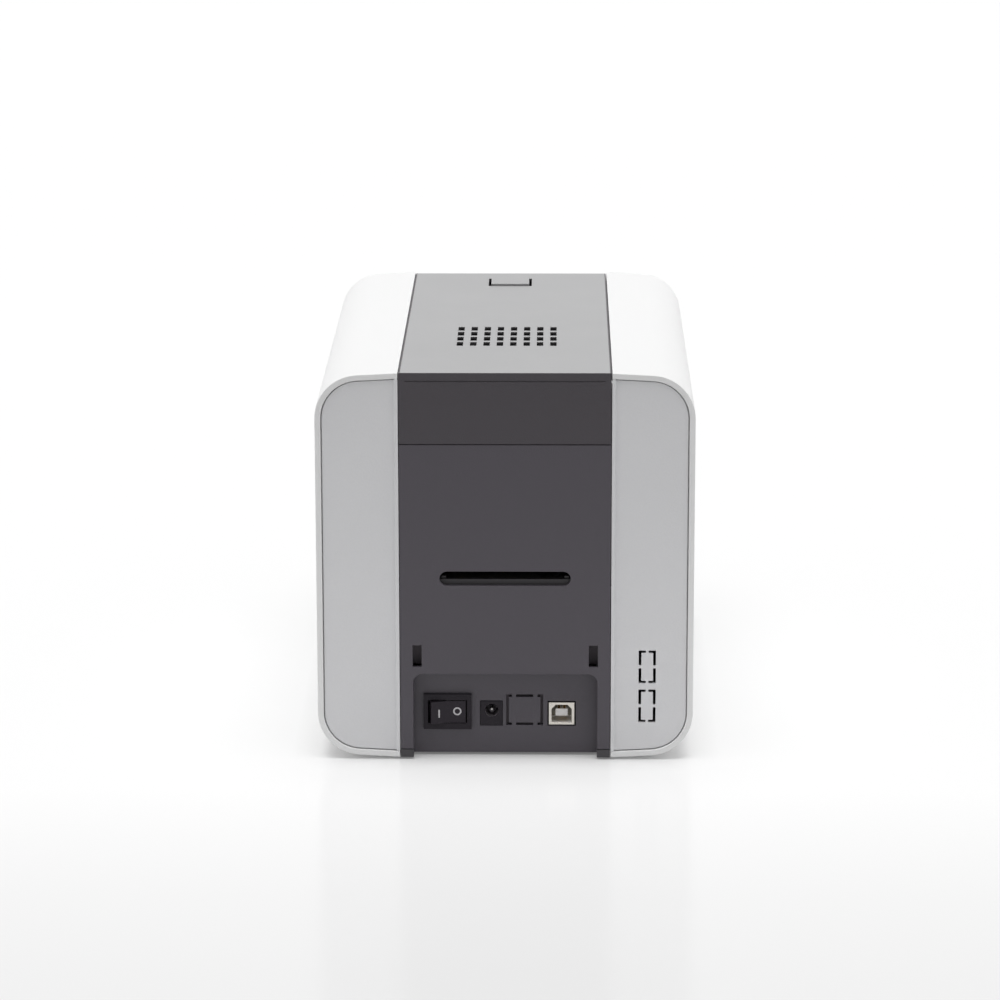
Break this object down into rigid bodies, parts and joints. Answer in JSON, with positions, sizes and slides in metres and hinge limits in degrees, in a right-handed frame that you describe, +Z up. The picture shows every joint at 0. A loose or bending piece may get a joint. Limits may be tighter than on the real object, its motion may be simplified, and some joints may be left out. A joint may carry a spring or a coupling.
{
  "type": "id card printer",
  "caption": "Desktop card printer: white side covers, dark centre column with rear card slot and port bay, vented hinged top cover, card hopper and output tray.",
  "frame": {"origin": "middle of the whole machine from above, on the surface it stands on", "axes": "+Z up, -Y towards the rear face with the ports, +Y towards the hopper and tray, +X to the right as seen from behind"},
  "size_m": [0.175, 0.345, 0.1856],
  "materials": {
    "base_plastic": "fine texture",
    "feet": "matt",
    "sheet_steel": "zinc-plated sheet",
    "white_shell": "fine satin moulding",
    "wing_panel": "fine satin moulding",
    "charcoal": "fine texture",
    "black_plastic": "satin",
    "rocker": "satin with moulded I and O marks",
    "jack": "satin",
    "usb_shell": "nickel-plated",
    "board": "solder mask",
    "board_parts": "satin",
    "screws": "zinc-plated",
    "path_plastic": "smooth",
    "roller_rubber": "ground rubber on a steel shaft",
    "pinch_rubber": "ground rubber on a steel shaft",
    "gear_plastic": "natural acetal",
    "belt": "matt",
    "motor_steel": "satin",
    "brass": "turned",
    "cassette_plastic": "satin",
    "ribbon_roll": "wound film",
    "film": "thin film",
    "flap": "smooth",
    "lid_plastic": "fine texture",
    "silver_plate": "silver paint on plastic",
    "pin_steel": "polished",
    "spring_steel": "drawn wire",
    "hook_steel": "zinc-plated",
    "sink_aluminium": "extruded",
    "head_ceramic": "glazed ceramic on a holder",
    "rotor": "satin",
    "window": "smoked, gloss",
    "button_plastic": "satin",
    "smoke_plastic": "fine texture",
    "weight_steel": "satin"
  },
  "bodies": {
    "printer_body": {"base_tray": "base_plastic", "rubber_feet": "feet", "chassis_left": "sheet_steel", "chassis_right": "sheet_steel", "side_cover_left": "white_shell", "side_cover_right": "white_shell", "rear_wing_left": "wing_panel", "rear_wing_right": "wing_panel", "front_wing_left": "wing_panel", "front_wing_right": "wing_panel", "rear_panel": "charcoal", "switch_housing": "black_plastic", "power_jack": "jack", "usb_port": "usb_shell", "main_board": "board", "board_parts": "board_parts", "driver_board": "board", "fixing_screws": "screws", "tie_bars": "sheet_steel", "card_bed": "path_plastic", "drive_belt": "belt", "stepper_motor": "motor_steel", "ribbon_motor": "motor_steel", "ribbon_cassette": "cassette_plastic", "ribbon_film": "film", "hinge_pins": "pin_steel", "latch_keeper": "sheet_steel", "front_bezel": "charcoal", "card_hopper": "charcoal", "output_tray": "charcoal"},
    "cover": {"cover_shell": "lid_plastic", "top_plate": "silver_plate", "button_spring": "spring_steel", "head_bracket": "sheet_steel", "head_springs": "spring_steel", "cooling_fan": "black_plastic", "display_window": "window"},
    "button": {"release_button": "silver_plate"},
    "hook": {"latch_hook": "hook_steel"},
    "head": {"heat_sink": "sink_aluminium", "print_head": "head_ceramic"},
    "rotor": {"fan_rotor": "rotor"},
    "platen": {"platen_roller": "roller_rubber", "platen_gear": "gear_plastic"},
    "rear_drive": {"rear_roller": "roller_rubber", "rear_pulley": "gear_plastic"},
    "front_drive": {"front_roller": "roller_rubber", "front_pulley": "gear_plastic"},
    "feed_drive": {"feed_roller": "roller_rubber", "feed_pulley": "gear_plastic"},
    "rear_pinch": {"rear_pinch_roller": "pinch_rubber"},
    "front_pinch": {"front_pinch_roller": "pinch_rubber"},
    "pinion": {"motor_pinion": "brass"},
    "supply": {"supply_spool": "ribbon_roll"},
    "take_up": {"take_up_spool": "ribbon_roll"},
    "flap": {"diverter_flap": "flap"},
    "hopper_lid": {"hopper_cover": "smoke_plastic"},
    "weight": {"pressure_weight": "weight_steel"},
    "rocker": {"switch_rocker": "rocker"},
    "panel_button": {"front_button": "button_plastic"}
  },
  "joints": [
    {"name": "top_cover_hinge", "type": "hinge", "parent": "printer_body", "child": "cover", "pos_m": [0, -0.1625, 0.177], "axis": [1, 0, 0], "range_deg": [0, 90]},
    {"name": "release_button_slide", "type": "slide", "parent": "cover", "child": "button", "axis": [0, 0, -1], "range_m": [0, 0.0025], "stiffness_N_per_m": 600, "deforming": ["button_spring"]},
    {"name": "latch_hook_pivot", "type": "hinge", "parent": "cover", "child": "hook", "pos_m": [0, 0.0637, 0.168], "axis": [1, 0, 0], "range_deg": [0, 9.6]},
    {"name": "print_head_slide", "type": "slide", "parent": "cover", "child": "head", "axis": [0, 0, 1], "range_m": [0, 0.003], "stiffness_N_per_m": 1000, "springref_m": -0.005, "deforming": ["head_springs"]},
    {"name": "fan_spin", "type": "hinge", "parent": "cover", "child": "rotor", "pos_m": [0, -0.0878, 0.1682], "axis": [0, 0, 1], "continuous": true},
    {"name": "platen_spin", "type": "hinge", "parent": "printer_body", "child": "platen", "pos_m": [0, -0.0878, 0.08002], "axis": [1, 0, 0], "continuous": true},
    {"name": "rear_roller_spin", "type": "hinge", "parent": "printer_body", "child": "rear_drive", "pos_m": [0, -0.1425, 0.08002], "axis": [1, 0, 0], "continuous": true},
    {"name": "front_roller_spin", "type": "hinge", "parent": "printer_body", "child": "front_drive", "pos_m": [0, -0.0065, 0.08002], "axis": [1, 0, 0], "continuous": true},
    {"name": "feed_roller_spin", "type": "hinge", "parent": "printer_body", "child": "feed_drive", "pos_m": [0, 0.0605, 0.08002], "axis": [1, 0, 0], "continuous": true},
    {"name": "rear_pinch_spin", "type": "hinge", "parent": "printer_body", "child": "rear_pinch", "pos_m": [0, -0.1425, 0.09278], "axis": [1, 0, 0], "continuous": true},
    {"name": "front_pinch_spin", "type": "hinge", "parent": "printer_body", "child": "front_pinch", "pos_m": [0, -0.0065, 0.09278], "axis": [1, 0, 0], "continuous": true},
    {"name": "pinion_spin", "type": "hinge", "parent": "printer_body", "child": "pinion", "pos_m": [0, -0.07754, 0.05183], "axis": [1, 0, 0], "continuous": true},
    {"name": "take_up_spin", "type": "hinge", "parent": "printer_body", "child": "take_up", "pos_m": [0, -0.0345, 0.1104], "axis": [1, 0, 0], "continuous": true},
    {"name": "supply_spin", "type": "hinge", "parent": "printer_body", "child": "supply", "pos_m": [0, -0.1275, 0.1204], "axis": [1, 0, 0], "continuous": true},
    {"name": "diverter_flap_hinge", "type": "hinge", "parent": "printer_body", "child": "flap", "pos_m": [0, 0.0155, 0.0924], "axis": [1, 0, 0], "range_deg": [-20, 0], "stiffness_Nm_per_rad": 0.02, "springref_deg": 11.46},
    {"name": "hopper_cover_hinge", "type": "hinge", "parent": "printer_body", "child": "hopper_lid", "pos_m": [0, 0.0895, 0.1457], "axis": [1, 0, 0], "range_deg": [0, 85]},
    {"name": "pressure_weight_slide", "type": "slide", "parent": "printer_body", "child": "weight", "axis": [0, 0, 1], "range_m": [0, 0.042]},
    {"name": "power_rocker_pivot", "type": "hinge", "parent": "printer_body", "child": "rocker", "pos_m": [-0.0271, -0.1661, 0.0215], "axis": [0, 0, -1], "range_deg": [0, 20]},
    {"name": "front_button_slide", "type": "slide", "parent": "printer_body", "child": "panel_button", "axis": [0, -1, 0], "range_m": [0, 0.0012], "stiffness_N_per_m": 600}
  ],
  "couplings": [
    {"joint": "latch_hook_pivot", "follows": "release_button_slide", "rad_per_m": 66.667},
    {"joint": "rear_roller_spin", "follows": "platen_spin", "ratio": 1},
    {"joint": "front_roller_spin", "follows": "platen_spin", "ratio": 1},
    {"joint": "feed_roller_spin", "follows": "platen_spin", "ratio": 1},
    {"joint": "pinion_spin", "follows": "platen_spin", "ratio": -3.2857},
    {"joint": "rear_pinch_spin", "follows": "platen_spin", "ratio": -1.4},
    {"joint": "front_pinch_spin", "follows": "platen_spin", "ratio": -1.4},
    {"joint": "supply_spin", "follows": "take_up_spin", "ratio": 0.6}
  ]
}
